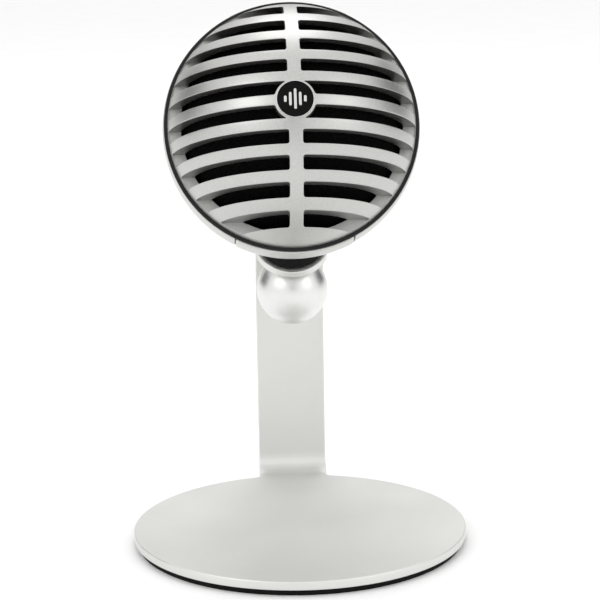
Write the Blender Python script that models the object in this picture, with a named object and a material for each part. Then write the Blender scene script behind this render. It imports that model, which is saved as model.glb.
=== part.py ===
"""Desktop microphone: a round slotted head on a stand bent from one aluminium sheet.

World frame: metres, +Z up, the front of the microphone faces -Y, the origin is
the centre of the round foot on the surface that it stands on.
"""

import math

import bmesh
import bpy
from mathutils import Matrix, Vector

# ---------------------------------------------------------------- foot and stand
PAD_RADIUS = 0.0434
PAD_THICK = 0.0014
DISC_RADIUS = 0.0445
DISC_BOTTOM = 0.0017
SHEET = 0.0023
SHEET_EDGE = 0.0003
STRIP_WIDTH = 0.0192
FOOT_BEND = 0.0050
UPRIGHT_FRONT = 0.0498
ARCH_RADIUS = 0.0200
SLOT_WIDTH = 0.0070
TILT_FORWARD = 7.0
TILT_BACK = 25.0
SLOT_SPARE = 0.7
TONGUE_BACK = 0.00025

# ---------------------------------------------------------------- clamp line
HEAD_CENTRE = Vector((0.0, 0.0137, 0.10912))
STRAP_RADIUS = 0.0342
SADDLE_GAP = 0.0003
SADDLE_MIN = 0.0009
STUD_RADIUS = 0.0030
STUD_HOLE = 0.0034
BALL_RADIUS = 0.00975
BALL_FLAT = 0.0080
WASHER_RADIUS = 0.0055

# ---------------------------------------------------------------- head
HEAD_PITCH = 22.05
GRILLE_RADIUS = 0.0330
GRILLE_INNER = 0.02974
GRILLE_BORE = 0.02905
GRILLE_EDGE = -0.0050
SLOT_FLOOR = -0.0060
SPINE_HALF = 0.00174
SLOT_END_RADIUS = 0.0323
SLOT_FIRST = 0.001364
SLOT_PITCH = 0.006117
SLOT_HEIGHT = 0.003388
SLOT_COUNT = 5
BADGE_RADIUS = 0.00475
BADGE_RING = 0.00525
FOAM_OUTER = 0.0288
FOAM_INNER = 0.0262
SEAL_OUTER = 0.0336
SEAL_INNER = 0.0296
SEAL_FRONT = -0.0047
SEAL_BACK = -0.0041
SHELL_EDGE = -0.0038
SHELL_OUTER = 0.0340
SHELL_INNER = 0.0320
STRAP_INNER = 0.0334
STRAP_SEAT = 0.0331
STRAP_HALF = 0.0155
PANEL_HOLE = 0.0136
PANEL_RADIUS = 0.0132
PANEL_BACK = 0.0314
PANEL_THICK = 0.0018

# ---------------------------------------------------------------- inside the head
CHASSIS_RADIUS = 0.0306
CHASSIS_FRONT = 0.0019
CHASSIS_THICK = 0.0020
BOARD_FRONT = 0.0224
BOARD_THICK = 0.0016
BOARD_RADIUS = 0.0188
BOARD_CUT = -0.0115
CAPSULE_RADIUS = 0.0080
SCREW_RING = 0.0255
PILLAR_ENDS = (0.0173, 0.0188, 0.0188)
POSTS = ((0.0126, 0.00725), (-0.0126, 0.00725), (0.0, -0.0094))
BUTTON_PLACE = (-0.0056, 0.0036)
WHEEL_PLACE = (0.0056, 0.0036)
JACK_PLACE = (-0.0054, -0.0050)
USB_PLACE = (0.0049, -0.0056)
LAMP_PLACE = (0.0, 0.0096)

for thing in list(bpy.data.objects):
    bpy.data.objects.remove(thing, do_unlink=True)

# The clamp line runs from the middle of the arch through the ball and the head.
LINE_LENGTH = STRAP_RADIUS + 2 * SADDLE_GAP + SADDLE_MIN + SHEET + ARCH_RADIUS
ARCH_BACK = UPRIGHT_FRONT - ARCH_RADIUS
ARCH_CENTRE = Vector((0.0, ARCH_BACK, HEAD_CENTRE.z - math.sqrt(LINE_LENGTH**2 - (ARCH_BACK - HEAD_CENTRE.y) ** 2)))
LINE = (HEAD_CENTRE - ARCH_CENTRE).normalized()
LINE_DEGREES = math.degrees(math.atan2(-LINE.y, LINE.z))
BALL_TOP = ARCH_RADIUS - 0.0019
BALL_AT = BALL_TOP - BALL_FLAT

PITCH = Matrix.Rotation(math.radians(-HEAD_PITCH), 4, "X")
MOUNT_LOCAL = PITCH.inverted() @ (-LINE)


# ---------------------------------------------------------------- helpers
def material(name, colour, roughness, metallic):
    made = bpy.data.materials.get(name)
    if made:
        return made
    made = bpy.data.materials.new(name)
    made.use_nodes = True
    shader = made.node_tree.nodes["Principled BSDF"]
    shader.inputs["Base Color"].default_value = (*colour, 1.0)
    shader.inputs["Roughness"].default_value = roughness
    shader.inputs["Metallic"].default_value = metallic
    made.diffuse_color = (*colour, 1.0)
    return made


def empty(name, parent, location, rotation=(0.0, 0.0, 0.0)):
    made = bpy.data.objects.new(name, None)
    bpy.context.scene.collection.objects.link(made)
    made.parent = parent
    made.location = location
    made.rotation_euler = rotation
    made.empty_display_size = 0.005
    return made


def place(name, mesh_edit, finish, parent=None, location=(0, 0, 0), rotation=(0, 0, 0), smooth=35.0, helper=False):
    """Turns an edit mesh into an object with its own finish, shaded smooth over angles under `smooth` degrees."""
    bmesh.ops.recalc_face_normals(mesh_edit, faces=mesh_edit.faces[:])
    if mesh_edit.calc_volume(signed=True) < 0:
        bmesh.ops.reverse_faces(mesh_edit, faces=mesh_edit.faces[:])
    mesh = bpy.data.meshes.new(name)
    mesh_edit.to_mesh(mesh)
    mesh_edit.free()
    mesh.shade_smooth()
    mesh.set_sharp_from_angle(angle=math.radians(smooth))
    made = bpy.data.objects.new(name, mesh)
    bpy.context.scene.collection.objects.link(made)
    made.parent = parent
    made.location = location
    made.rotation_euler = rotation
    if helper:
        made.hide_render = True
        made.display_type = "WIRE"
    else:
        mesh.materials.append(finish)
    return made


def boolean(target, other, operation="DIFFERENCE"):
    made = target.modifiers.new(other.name, "BOOLEAN")
    made.operation = operation
    made.solver = "EXACT"
    made.object = other
    return made


def arc(radius, start, end, count, centre=(0.0, 0.0)):
    """Points (across, along) on a circle, angles in degrees from the along axis."""
    steps = [math.radians(start + (end - start) * k / count) for k in range(count + 1)]
    return [(centre[0] + radius * math.sin(a), centre[1] + radius * math.cos(a)) for a in steps]


def turned(profile, segments, axis="Z"):
    """A solid turned about the axis from a closed outline of (radius, height) points."""
    made = bmesh.new()
    rings = []
    for radius, height in profile:
        ring = []
        count = segments if radius > 1e-7 else 1
        for k in range(count):
            turn = 2 * math.pi * k / segments
            a, b = radius * math.cos(turn), radius * math.sin(turn)
            point = (a, b, height) if axis == "Z" else (a, height, b)
            ring.append(made.verts.new(point))
        rings.append(ring)
    for here, there in zip(rings, rings[1:] + rings[:1]):
        if len(here) == 1 and len(there) == 1:
            continue
        for k in range(segments):
            corners = [here[k % len(here)], here[(k + 1) % len(here)], there[(k + 1) % len(there)], there[k % len(there)]]
            face = []
            for corner in corners:
                if corner not in face:
                    face.append(corner)
            made.faces.new(face)
    return made


def rod(radius, low, high, segments, axis="Z", at=(0.0, 0.0), edge=0.0):
    """A round bar between two heights, with an optional chamfer at both ends."""
    if edge:
        profile = [(0, low), (radius - edge, low), (radius, low + edge), (radius, high - edge), (radius - edge, high), (0, high)]
    else:
        profile = [(0, low), (radius, low), (radius, high), (0, high)]
    made = turned(profile, segments, axis)
    shift = Vector((at[0], at[1], 0)) if axis == "Z" else Vector((at[0], 0, at[1]))
    bmesh.ops.translate(made, verts=made.verts[:], vec=shift)
    return made


def block(low, high):
    made = bmesh.new()
    bmesh.ops.create_cube(made, size=1.0)
    for vert in made.verts:
        vert.co = Vector([(low[k] + high[k]) / 2 + vert.co[k] * (high[k] - low[k]) for k in range(3)])
    return made


def extruded(outline, low, high):
    """A prism along Y over a closed outline of (x, z) points."""
    made = bmesh.new()
    front = [made.verts.new((x, low, z)) for x, z in outline]
    back = [made.verts.new((x, high, z)) for x, z in outline]
    made.faces.new(front)
    made.faces.new(back[::-1])
    for k in range(len(outline)):
        made.faces.new((front[k], back[k], back[(k + 1) % len(outline)], front[(k + 1) % len(outline)]))
    return made


def merged(pieces):
    """One edit mesh that holds several separate closed shapes, for use as a cutter."""
    whole = bmesh.new()
    for piece in pieces:
        bmesh.ops.recalc_face_normals(piece, faces=piece.faces[:])
        held = bpy.data.meshes.new("held")
        piece.to_mesh(held)
        piece.free()
        whole.from_mesh(held)
        bpy.data.meshes.remove(held)
    return whole


SATIN = material("anodised_silver", (0.62, 0.63, 0.61), 0.34, 1.0)
BALL = material("turned_aluminium", (0.68, 0.68, 0.67), 0.24, 1.0)
SILVER = material("silver_paint", (0.66, 0.67, 0.68), 0.42, 0.75)
BLACK_RUBBER = material("black_rubber", (0.016, 0.016, 0.017), 0.72, 0.0)
FOAM = material("black_foam", (0.010, 0.010, 0.011), 0.95, 0.0)
BLACK_PLASTIC = material("black_plastic", (0.022, 0.022, 0.024), 0.48, 0.0)
ENAMEL = material("badge_enamel", (0.010, 0.010, 0.012), 0.20, 0.0)
STEEL = material("plated_steel", (0.55, 0.55, 0.55), 0.30, 1.0)
BRASS = material("brass", (0.62, 0.45, 0.18), 0.33, 1.0)
NYLON = material("white_nylon", (0.75, 0.74, 0.70), 0.50, 0.0)
BOARD = material("board_green", (0.02, 0.12, 0.05), 0.40, 0.0)
LAMP = material("lamp_clear", (0.75, 0.85, 0.90), 0.15, 0.0)

# ---------------------------------------------------------------- foot pad
place(
    "base_pad",
    turned([(0, 0), (PAD_RADIUS - 0.0003, 0), (PAD_RADIUS, 0.0003), (PAD_RADIUS, PAD_THICK), (0, PAD_THICK)], 64),
    BLACK_RUBBER,
)

# ---------------------------------------------------------------- stand, drawn flat and then bent
ARCH_MEAN = ARCH_RADIUS + SHEET / 2
BEND_MEAN = FOOT_BEND + SHEET / 2
HALF = STRIP_WIDTH / 2
BEND_START = UPRIGHT_FRONT - FOOT_BEND
DISC_TOP = DISC_BOTTOM + SHEET
BEND_END = BEND_START + BEND_MEAN * math.pi / 2
ARCH_START = BEND_END + ARCH_CENTRE.z - (DISC_TOP + FOOT_BEND)
LINE_AT = ARCH_START + ARCH_MEAN * math.radians(90.0 + LINE_DEGREES)
SLOT_FRONT = LINE_AT + ARCH_MEAN * math.radians(TILT_FORWARD + SLOT_SPARE)
SLOT_REAR = LINE_AT - ARCH_MEAN * math.radians(TILT_BACK + SLOT_SPARE)


def bent(point):
    """Carries a point of the flat sheet (x, along the strip, depth below the show face) onto the bent stand."""
    x, along, depth = point
    if along <= BEND_START:
        return Vector((x, along, DISC_TOP - depth))
    if along <= BEND_END:
        turn = (along - BEND_START) / BEND_MEAN
        reach = FOOT_BEND + depth
        return Vector((x, BEND_START + reach * math.sin(turn), DISC_TOP + FOOT_BEND - reach * math.cos(turn)))
    if along <= ARCH_START:
        return Vector((x, UPRIGHT_FRONT + depth, DISC_TOP + FOOT_BEND + along - BEND_END))
    turn = (along - ARCH_START) / ARCH_MEAN
    reach = ARCH_RADIUS + depth
    return Vector((x, ARCH_CENTRE.y + reach * math.cos(turn), ARCH_CENTRE.z + reach * math.sin(turn)))


def stand():
    made = bmesh.new()
    corner = math.degrees(math.asin(HALF / DISC_RADIUS))
    outline = arc(DISC_RADIUS, corner, 360 - corner, 80)
    outline += [(-HALF, BEND_START + 0.0001)] + arc(HALF, -90, 90, 18, (0.0, LINE_AT - TONGUE_BACK)) + [(HALF, BEND_START + 0.0001)]
    radius = SLOT_WIDTH / 2
    slot = arc(radius, -90, 90, 8, (0.0, SLOT_FRONT)) + arc(radius, 90, 270, 8, (0.0, SLOT_REAR))
    edges = []
    for loop in (outline, slot):
        verts = [made.verts.new((x, y, 0.0)) for x, y in loop]
        edges += [made.edges.new((verts[k], verts[(k + 1) % len(verts)])) for k in range(len(verts))]
    bmesh.ops.triangle_fill(made, edges=edges, use_beauty=True, use_dissolve=False, normal=(0, 0, 1))
    grown = bmesh.ops.extrude_face_region(made, geom=made.faces[:])["geom"]
    bmesh.ops.translate(made, verts=[g for g in grown if isinstance(g, bmesh.types.BMVert)], vec=(0, 0, SHEET))
    bmesh.ops.recalc_face_normals(made, faces=made.faces[:])
    rims = [e for e in made.edges if len(e.link_faces) == 2 and abs(e.link_faces[0].normal.dot(e.link_faces[1].normal)) < 0.1 and abs(e.verts[0].co.z - e.verts[1].co.z) < 1e-6]
    bmesh.ops.bevel(made, geom=rims, offset=SHEET_EDGE, segments=1, affect="EDGES", profile=0.5)
    stations = [BEND_START + (BEND_END - BEND_START) * k / 6 for k in range(7)]
    last = LINE_AT + HALF
    stations += [ARCH_START + (last - ARCH_START) * k / 26 for k in range(26)]
    for station in stations:
        geometry = made.verts[:] + made.edges[:] + made.faces[:]
        bmesh.ops.bisect_plane(made, geom=geometry, dist=1e-6, plane_co=(0, station, 0), plane_no=(0, 1, 0))
    bmesh.ops.triangulate(made, faces=[f for f in made.faces if len(f.verts) > 4])
    for vert in made.verts:
        vert.co = bent(vert.co)
    return made


place("stand_frame", stand(), SATIN, smooth=25.0)

# ---------------------------------------------------------------- tilt, swivel and clamp axes
TILT_AXIS = empty("tilt_axis", None, ARCH_CENTRE, (math.radians(LINE_DEGREES), 0.0, 0.0))
# In this empty's frame +Z is the clamp line and the origin is the middle of the arch.
HEAD_AXIS = empty("head_axis", None, HEAD_CENTRE, (math.radians(-HEAD_PITCH), 0.0, 0.0))
# In this empty's frame -Y is the front of the head, +Z its top, and the origin the centre of the ball.


# ---------------------------------------------------------------- saddle between the arch and the head
def saddle():
    """A thick wedge of the strip's own outline, cut to the arch below and to the round head above."""
    made = bmesh.new()
    half = HALF - 0.0009
    front = arc(half, -90, 90, 16, (0.0, 0.0))
    outline = [(x, -y) for x, y in front] + [(half, 0.0085), (half - 0.0012, 0.0097), (-half + 0.0012, 0.0097), (-half, 0.0085)]
    low = [made.verts.new((x, y, 0.017)) for x, y in outline]
    high = [made.verts.new((x, y, 0.030)) for x, y in outline]
    made.faces.new(low)
    made.faces.new(high[::-1])
    for k in range(len(outline)):
        made.faces.new((low[k], high[k], high[(k + 1) % len(outline)], low[(k + 1) % len(outline)]))
    return made


saddle_pad = place("saddle_pad", saddle(), BLACK_RUBBER, TILT_AXIS, smooth=30.0)
under = bmesh.new()
bmesh.ops.create_cone(under, segments=72, radius1=ARCH_RADIUS + SHEET + SADDLE_GAP, radius2=ARCH_RADIUS + SHEET + SADDLE_GAP, depth=0.05, cap_ends=True)
bmesh.ops.rotate(under, verts=under.verts[:], cent=(0, 0, 0), matrix=Matrix.Rotation(math.pi / 2, 3, "Y"))
over = turned([(0, -STRAP_RADIUS - SADDLE_GAP)] + arc(STRAP_RADIUS + SADDLE_GAP, 177, 90, 27) + [(0, 0)], 40)
bmesh.ops.translate(over, verts=over.verts[:], vec=(0, 0, LINE_LENGTH))
boolean(saddle_pad, place("cut_arch", under, None, TILT_AXIS, helper=True))
boolean(saddle_pad, place("cut_head", over, None, TILT_AXIS, helper=True))
boolean(saddle_pad, place("cut_stud", rod(STUD_HOLE, 0.01, 0.04, 24), None, TILT_AXIS, helper=True))

# ---------------------------------------------------------------- clamp knob, stud and washer
ball_profile = [(0, BALL_AT - BALL_RADIUS)]
flat_angle = math.degrees(math.acos(BALL_FLAT / BALL_RADIUS))
ball_profile += arc(BALL_RADIUS, 170, flat_angle, 13, (0.0, BALL_AT))
BORE_FLOOR = BALL_AT - 0.0035
ball_profile += [(0.0033, BALL_TOP), (0.0033, BORE_FLOOR), (0, BORE_FLOOR)]
place("clamp_knob", turned(ball_profile, 36), BALL, TILT_AXIS)
STUD_TOP = LINE_LENGTH - 0.0268
place("clamp_stud", rod(STUD_RADIUS, BORE_FLOOR + 0.0003, STUD_TOP, 24, edge=0.0005), STEEL, TILT_AXIS)
washer_low = BALL_TOP + 0.0002
dome = arc(ARCH_RADIUS - 0.0003, math.degrees(math.asin(WASHER_RADIUS / (ARCH_RADIUS - 0.0003))), math.degrees(math.asin(0.0034 / (ARCH_RADIUS - 0.0003))), 4)
place("clamp_washer", turned([(0.0034, washer_low), (WASHER_RADIUS, washer_low)] + dome, 32), NYLON, TILT_AXIS)

# ---------------------------------------------------------------- front grille
edge_out = 180 - math.degrees(math.acos(-GRILLE_EDGE / GRILLE_RADIUS))
edge_in = 180 - math.degrees(math.asin(GRILLE_BORE / GRILLE_INNER))
grille_profile = arc(GRILLE_RADIUS, 180, edge_out, 14) + [(GRILLE_BORE, GRILLE_EDGE)] + arc(GRILLE_INNER, edge_in, 180, 8)
front_grille = place("front_grille", turned(grille_profile, 48, "Y"), SILVER, HEAD_AXIS)


def slot_outline(low, high, side):
    """One slot beside the spine, ending on the rim circle and clear of the badge boss."""
    points = []
    for level in (low, high):
        near = SPINE_HALF
        if level < BADGE_RING:
            near = max(near, math.sqrt(BADGE_RING**2 - level**2))
        far = math.sqrt(SLOT_END_RADIUS**2 - level**2)
        points.append((near, far, level))
    (near0, far0, z0), (near1, far1, z1) = points
    outline = [(near0, z0)]
    for k in range(4):
        z = z0 + (z1 - z0) * k / 3
        outline.append((math.sqrt(SLOT_END_RADIUS**2 - z**2), z))
    outline.append((near1, z1))
    if near0 > SPINE_HALF + 1e-5:
        for k in range(3, 0, -1):
            z = z0 + (z1 - z0) * k / 4
            outline.append((max(SPINE_HALF, math.sqrt(BADGE_RING**2 - z**2)), z))
    return [(x * side, z) for x, z in outline]


slots = []
for row in range(SLOT_COUNT):
    low = SLOT_FIRST + SLOT_PITCH * row
    for side in (-1, 1):
        above = slot_outline(low, low + SLOT_HEIGHT, side)
        slots.append(extruded(above, -0.040, SLOT_FLOOR))
        slots.append(extruded([(x, -z) for x, z in above], -0.040, SLOT_FLOOR))
boolean(front_grille, place("cut_slots", merged(slots), None, HEAD_AXIS, helper=True))
boolean(front_grille, place("cut_badge", rod(BADGE_RADIUS + 0.0002, -0.040, -0.0319, 32, "Y"), None, HEAD_AXIS, helper=True))

# ---------------------------------------------------------------- badge
badge = [
    (0, -0.0323),
    (BADGE_RADIUS - 0.0006, -0.0323),
    (BADGE_RADIUS - 0.0006, -0.0331),
    (BADGE_RADIUS - 0.0001, -0.0331),
    (BADGE_RADIUS, -0.0330),
    (BADGE_RADIUS, -0.0320),
    (0, -0.0320),
]
place("badge_plate", turned(badge, 32, "Y"), STEEL, HEAD_AXIS)
place("badge_inlay", rod(BADGE_RADIUS - 0.00075, -0.0329, -0.0325, 32, "Y"), ENAMEL, HEAD_AXIS)

# ---------------------------------------------------------------- foam, seal and shells
foam_profile = arc(FOAM_OUTER, 180, 94.5, 9) + arc(FOAM_INNER, 95, 180, 7)
place("foam_windscreen", turned(foam_profile, 32, "Y"), FOAM, HEAD_AXIS)
seal = [
    (SEAL_INNER, SEAL_FRONT),
    (SEAL_OUTER - 0.0002, SEAL_FRONT),
    (SEAL_OUTER, SEAL_FRONT + 0.0002),
    (SEAL_OUTER, SEAL_BACK - 0.0002),
    (SEAL_OUTER - 0.0002, SEAL_BACK),
    (SEAL_INNER, SEAL_BACK),
]
place("seal_ring", turned(seal, 56, "Y"), BLACK_RUBBER, HEAD_AXIS)

start_out = math.degrees(math.acos(SHELL_EDGE / SHELL_OUTER))
start_in = math.degrees(math.acos(SHELL_EDGE / SHELL_INNER))
end_out = math.degrees(math.asin(PANEL_HOLE / SHELL_OUTER))
end_in = math.degrees(math.asin(PANEL_HOLE / SHELL_INNER))
shell_profile = arc(SHELL_OUTER, start_out, end_out, 9) + arc(SHELL_INNER, end_in, start_in, 6)
rear_shell = place("rear_shell", turned(shell_profile, 44, "Y"), SILVER, HEAD_AXIS)
MOUNT_TURN = (-math.asin(MOUNT_LOCAL.y) if MOUNT_LOCAL.z > 0 else math.asin(MOUNT_LOCAL.y) + math.pi, 0.0, 0.0)
# The clamp line seen from the head: its helpers are drawn along +Z and turned onto it.
BOSS = empty("boss_axis", HEAD_AXIS, (0, 0, 0), MOUNT_TURN)
boss = rod(0.0075, 0.0235, 0.0318, 28)
boolean(rear_shell, place("add_boss", boss, None, BOSS, helper=True), "UNION")
screw_turns = [math.radians(a) for a in (90, 210, 330)]
SCREWS = [(SCREW_RING * math.cos(a), SCREW_RING * math.sin(a)) for a in screw_turns]
for k, spot in enumerate(SCREWS):
    pillar = rod(0.0024, 0.0043, PILLAR_ENDS[k], 16, "Y", spot)
    boolean(rear_shell, place(f"add_pillar_{k + 1}", pillar, None, HEAD_AXIS, helper=True), "UNION")
drills = [rod(0.0014, 0.0, 0.0125, 12, "Y", spot) for spot in SCREWS]
boolean(rear_shell, place("cut_pillars", merged(drills), None, HEAD_AXIS, helper=True))
boolean(rear_shell, place("cut_insert", rod(0.0053, 0.020, 0.040, 28), None, BOSS, helper=True))


def band(inner, outer, half, front, across, along):
    """A curved band round the back of the head, from one front edge over the back to the other."""
    made = bmesh.new()
    grid = {}
    for layer, radius in enumerate((inner, outer)):
        for i in range(across + 1):
            x = half * (2 * i / across - 1)
            round_radius = math.sqrt(radius**2 - x**2)
            reach = math.pi / 2 - math.asin(front / round_radius)
            for j in range(along + 1):
                turn = reach * (2 * j / along - 1)
                grid[layer, i, j] = made.verts.new((x, round_radius * math.cos(turn), round_radius * math.sin(turn)))
    for layer in (0, 1):
        for i in range(across):
            for j in range(along):
                made.faces.new((grid[layer, i, j], grid[layer, i + 1, j], grid[layer, i + 1, j + 1], grid[layer, i, j + 1]))
    for i in range(across):
        for j in (0, along):
            made.faces.new((grid[0, i, j], grid[0, i + 1, j], grid[1, i + 1, j], grid[1, i, j]))
    for j in range(along):
        for i in (0, across):
            made.faces.new((grid[0, i, j], grid[0, i, j + 1], grid[1, i, j + 1], grid[1, i, j]))
    return made


groove = band(STRAP_SEAT, STRAP_RADIUS + 0.0010, STRAP_HALF + 0.0003, SHELL_EDGE - 0.0020, 7, 31)
boolean(rear_shell, place("cut_groove", groove, None, HEAD_AXIS, helper=True))
rear_strap = place("rear_strap", band(STRAP_INNER, STRAP_RADIUS, STRAP_HALF, SHELL_EDGE, 6, 28), SILVER, HEAD_AXIS)
boolean(rear_strap, place("cut_strap_panel", rod(PANEL_HOLE, 0.020, 0.040, 36, "Y"), None, HEAD_AXIS, helper=True))
boolean(rear_strap, place("cut_strap_stud", rod(STUD_HOLE + 0.0002, 0.025, 0.040, 24), None, BOSS, helper=True))

# ---------------------------------------------------------------- threaded insert in the head
insert = [
    (0, 0.0240),
    (0.0050, 0.0240),
    (0.0050, 0.0327),
    (0.0037, 0.0327),
    (0.0034, 0.0324),
    (0.0034, 0.0256),
    (0, 0.0256),
]
place("mount_insert", turned(insert, 28), BRASS, BOSS)

# ---------------------------------------------------------------- chassis, capsule and board
chassis = place("chassis", rod(CHASSIS_RADIUS, CHASSIS_FRONT, CHASSIS_FRONT + CHASSIS_THICK, 48, "Y"), BLACK_PLASTIC, HEAD_AXIS)
for k, spot in enumerate(POSTS):
    post = rod(0.0022, CHASSIS_FRONT + CHASSIS_THICK - 0.0008, BOARD_FRONT - 0.0003, 16, "Y", spot)
    boolean(chassis, place(f"add_post_{k + 1}", post, None, HEAD_AXIS, helper=True), "UNION")
holes = [rod(0.0014, -0.002, 0.008, 12, "Y", spot) for spot in SCREWS]
holes += [rod(0.0011, 0.0150, 0.030, 12, "Y", spot) for spot in POSTS]
holes += [rod(0.0018, -0.002, 0.008, 12, "Y")]
boolean(chassis, place("cut_chassis", merged(holes), None, HEAD_AXIS, helper=True))
cup = [(0.0018, 0.0016), (0.0106, 0.0016), (0.0106, -0.0100), (0.0083, -0.0100), (0.0083, -0.0012), (0.0018, -0.0012)]
place("capsule_cup", turned(cup, 32, "Y"), BLACK_RUBBER, HEAD_AXIS)
place("capsule", rod(CAPSULE_RADIUS, -0.0108, -0.0015, 32, "Y", edge=0.0006), STEEL, HEAD_AXIS)

main_board = place("main_board", rod(BOARD_RADIUS, BOARD_FRONT, BOARD_FRONT + BOARD_THICK, 40, "Y"), BOARD, HEAD_AXIS)
holes = [rod(0.0012, 0.020, 0.027, 12, "Y", spot) for spot in POSTS]
holes.append(block((-0.03, 0.020, -0.03), (0.03, 0.027, BOARD_CUT)))
boolean(main_board, place("cut_board", merged(holes), None, HEAD_AXIS, helper=True))
BOARD_BACK = BOARD_FRONT + BOARD_THICK

lead = bpy.data.curves.new("capsule_lead", "CURVE")
lead.dimensions = "3D"
lead.bevel_depth = 0.0006
lead.bevel_resolution = 1
lead.use_fill_caps = True
run = lead.splines.new("POLY")
route = []
for k in range(13):
    t = k / 12
    route.append((0.0012 * math.sin(2 * math.pi * t) * t, -0.0012 + t * (BOARD_FRONT - 0.0003 + 0.0012), 0.0010 * (1 - math.cos(2 * math.pi * t)) * t))
run.points.add(len(route) - 1)
for point, spot in zip(run.points, route):
    point.co = (*spot, 1.0)
lead.materials.append(BLACK_PLASTIC)
lead_object = bpy.data.objects.new("capsule_lead", lead)
bpy.context.scene.collection.objects.link(lead_object)
lead_object.parent = HEAD_AXIS

for k, spot in enumerate(SCREWS):
    screw = turned([(0, 0.0002), (0.0017, 0.0002), (0.0020, 0.0005), (0.0020, 0.0016), (0.0010, 0.0016), (0.0010, 0.0105), (0, 0.0110)], 16, "Y")
    bmesh.ops.translate(screw, verts=screw.verts[:], vec=(spot[0], 0, spot[1]))
    place(f"chassis_screw_{k + 1}", screw, STEEL, HEAD_AXIS)
for k, spot in enumerate(POSTS):
    seat = BOARD_BACK + 0.0002
    screw = turned([(0, seat + 0.0011), (0.0013, seat + 0.0011), (0.0016, seat + 0.0008), (0.0016, seat), (0.0008, seat), (0.0008, seat - 0.0070), (0, seat - 0.0074)], 14, "Y")
    bmesh.ops.translate(screw, verts=screw.verts[:], vec=(spot[0], 0, spot[1]))
    place(f"board_screw_{k + 1}", screw, STEEL, HEAD_AXIS)

# ---------------------------------------------------------------- back panel and its controls
PART_SEAT = BOARD_BACK + 0.0003
rear_panel = place("rear_panel", rod(PANEL_RADIUS, PANEL_BACK - PANEL_THICK, PANEL_BACK, 48, "Y", edge=0.0003), BLACK_PLASTIC, HEAD_AXIS)
holes = [
    rod(0.0032, 0.025, 0.036, 28, "Y", BUTTON_PLACE),
    rod(0.0018, 0.025, 0.036, 16, "Y", WHEEL_PLACE),
    rod(0.0034, 0.025, 0.036, 28, "Y", JACK_PLACE),
    rod(0.0011, 0.025, 0.036, 12, "Y", LAMP_PLACE),
    block((USB_PLACE[0] - 0.0046, 0.025, USB_PLACE[1] - 0.0018), (USB_PLACE[0] + 0.0046, 0.036, USB_PLACE[1] + 0.0018)),
]
boolean(rear_panel, place("cut_panel", merged(holes), None, HEAD_AXIS, helper=True))

BUTTON_AXIS = empty("button_axis", HEAD_AXIS, (BUTTON_PLACE[0], 0, BUTTON_PLACE[1]))
button = [(0, 0.0322), (0.0025, 0.0322), (0.0029, 0.0318), (0.0029, 0.0294), (0.0036, 0.0294), (0.0036, 0.0290), (0.0014, 0.0290), (0.0014, 0.0286), (0, 0.0286)]
place("mute_button", turned(button, 28, "Y"), BLACK_RUBBER, BUTTON_AXIS)
place("mute_switch", block((BUTTON_PLACE[0] - 0.003, PART_SEAT, BUTTON_PLACE[1] - 0.003), (BUTTON_PLACE[0] + 0.003, 0.0277, BUTTON_PLACE[1] + 0.003)), BLACK_PLASTIC, HEAD_AXIS)

WHEEL_AXIS = empty("wheel_axis", HEAD_AXIS, (WHEEL_PLACE[0], 0, WHEEL_PLACE[1]))
teeth = 18
outline = []
for k in range(teeth):
    for part, radius in ((0.0, 0.0042), (0.45, 0.0042), (0.55, 0.0039), (0.9, 0.0039)):
        turn = 2 * math.pi * (k + part) / teeth
        outline.append((radius * math.cos(turn), radius * math.sin(turn)))
wheel = extruded(outline, PANEL_BACK + 0.0003, PANEL_BACK + 0.0026)
volume_wheel = place("volume_wheel", wheel, BLACK_PLASTIC, WHEEL_AXIS, smooth=20.0)
boolean(volume_wheel, place("add_shaft", rod(0.0014, 0.0262, PANEL_BACK + 0.0010, 16, "Y"), None, WHEEL_AXIS, helper=True), "UNION")
pot = place("volume_pot", block((WHEEL_PLACE[0] - 0.004, PART_SEAT, WHEEL_PLACE[1] - 0.004), (WHEEL_PLACE[0] + 0.004, 0.0292, WHEEL_PLACE[1] + 0.004)), STEEL, HEAD_AXIS)
boolean(pot, place("cut_pot", rod(0.0017, 0.0259, 0.032, 16, "Y", WHEEL_PLACE), None, HEAD_AXIS, helper=True))

jack = turned([(0, PART_SEAT), (0.0031, PART_SEAT), (0.0031, PANEL_BACK + 0.0002), (0.0018, PANEL_BACK + 0.0002), (0.0018, PART_SEAT + 0.0012), (0, PART_SEAT + 0.0012)], 28, "Y")
bmesh.ops.translate(jack, verts=jack.verts[:], vec=(JACK_PLACE[0], 0, JACK_PLACE[1]))
place("headphone_jack", jack, BLACK_PLASTIC, HEAD_AXIS)


def stadium(half_width, half_height, low, high, at):
    """A round-ended bar along Y, as wide as twice half_width."""
    run = half_width - half_height
    outline = arc(half_height, 0, 180, 8, (run, 0.0)) + arc(half_height, 180, 360, 8, (-run, 0.0))
    return extruded([(x + at[0], z + at[1]) for x, z in outline], low, high)


usb = place("usb_socket", stadium(0.0044, 0.0016, PART_SEAT, PANEL_BACK, USB_PLACE), STEEL, HEAD_AXIS)
boolean(usb, place("cut_usb", stadium(0.0041, 0.0013, PART_SEAT + 0.0010, 0.036, USB_PLACE), None, HEAD_AXIS, helper=True))
tongue = block((USB_PLACE[0] - 0.0033, PART_SEAT + 0.0004, USB_PLACE[1] - 0.00035), (USB_PLACE[0] + 0.0033, PANEL_BACK - 0.0010, USB_PLACE[1] + 0.00035))
boolean(usb, place("add_tongue", tongue, None, HEAD_AXIS, helper=True), "UNION")
place("status_lamp", rod(0.0009, PART_SEAT, PANEL_BACK + 0.0001, 14, "Y", LAMP_PLACE), LAMP, HEAD_AXIS)
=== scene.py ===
"""Looks of the desktop microphone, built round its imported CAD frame. Metres, +Z up, front at -Y."""

import math

import bmesh
import bpy
import numpy as np
from mathutils import Matrix, Vector, noise


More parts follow.
